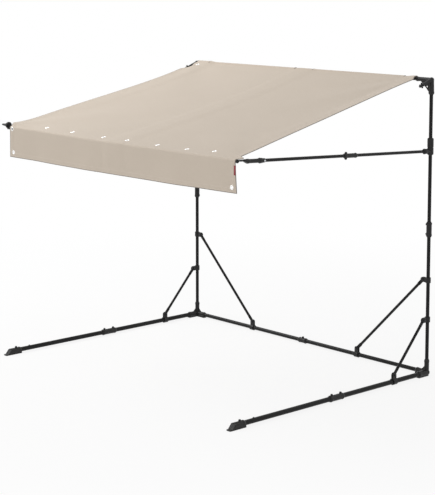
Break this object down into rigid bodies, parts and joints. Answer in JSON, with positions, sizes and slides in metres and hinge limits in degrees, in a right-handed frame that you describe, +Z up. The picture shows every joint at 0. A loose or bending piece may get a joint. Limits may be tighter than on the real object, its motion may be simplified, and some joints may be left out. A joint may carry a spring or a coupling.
{
  "type": "cantilevered bicycle canopy",
  "caption": "Free-standing garden canopy for bicycles: black tube frame with moulded corners, rear posts on floor rails, forward arms and a sloping cloth roof with a front valance.",
  "frame": {"origin": "centre of the object's footprint on the ground", "axes": "+X to the right along the posts' row, -Y to the open front, +Z up"},
  "size_m": [1.9522, 1.4516, 1.5958],
  "materials": {
    "tube": "black powder coat, satin",
    "moulding": "moulded black plastic, fine texture",
    "cloth": "coated plain-weave cloth"
  },
  "bodies": {
    "root": {"canopy_cloth": "cloth", "front_bar": "tube", "front_bar_splice": "moulding", "left_arm_front_tube": "tube", "left_arm_rear_tube": "tube", "left_arm_splice": "moulding", "left_arm_tee": "moulding", "left_base_corner": "moulding", "left_foot": "moulding", "left_front_corner": "moulding", "left_post_lower_tube": "tube", "left_post_middle_tube": "tube", "left_post_splice": "moulding", "left_post_upper_tube": "tube", "left_rail_front_tube": "tube", "left_rail_rear_tube": "tube", "left_rail_splice": "moulding", "left_rear_brace": "tube", "left_rear_brace_clamps": "moulding", "left_side_brace": "tube", "left_side_brace_clamps": "moulding", "left_top_corner": "moulding", "rear_floor_bar": "tube", "rear_floor_splice": "moulding", "right_arm_front_tube": "tube", "right_arm_rear_tube": "tube", "right_arm_splice": "moulding", "right_arm_tee": "moulding", "right_base_corner": "moulding", "right_foot": "moulding", "right_front_corner": "moulding", "right_post_lower_tube": "tube", "right_post_middle_tube": "tube", "right_post_splice": "moulding", "right_post_upper_tube": "tube", "right_rail_front_tube": "tube", "right_rail_rear_tube": "tube", "right_rail_splice": "moulding", "right_rear_brace": "tube", "right_rear_brace_clamps": "moulding", "right_side_brace": "tube", "right_side_brace_clamps": "moulding", "right_top_corner": "moulding", "top_bar": "tube", "top_bar_splice": "moulding"}
  },
  "joints": []
}
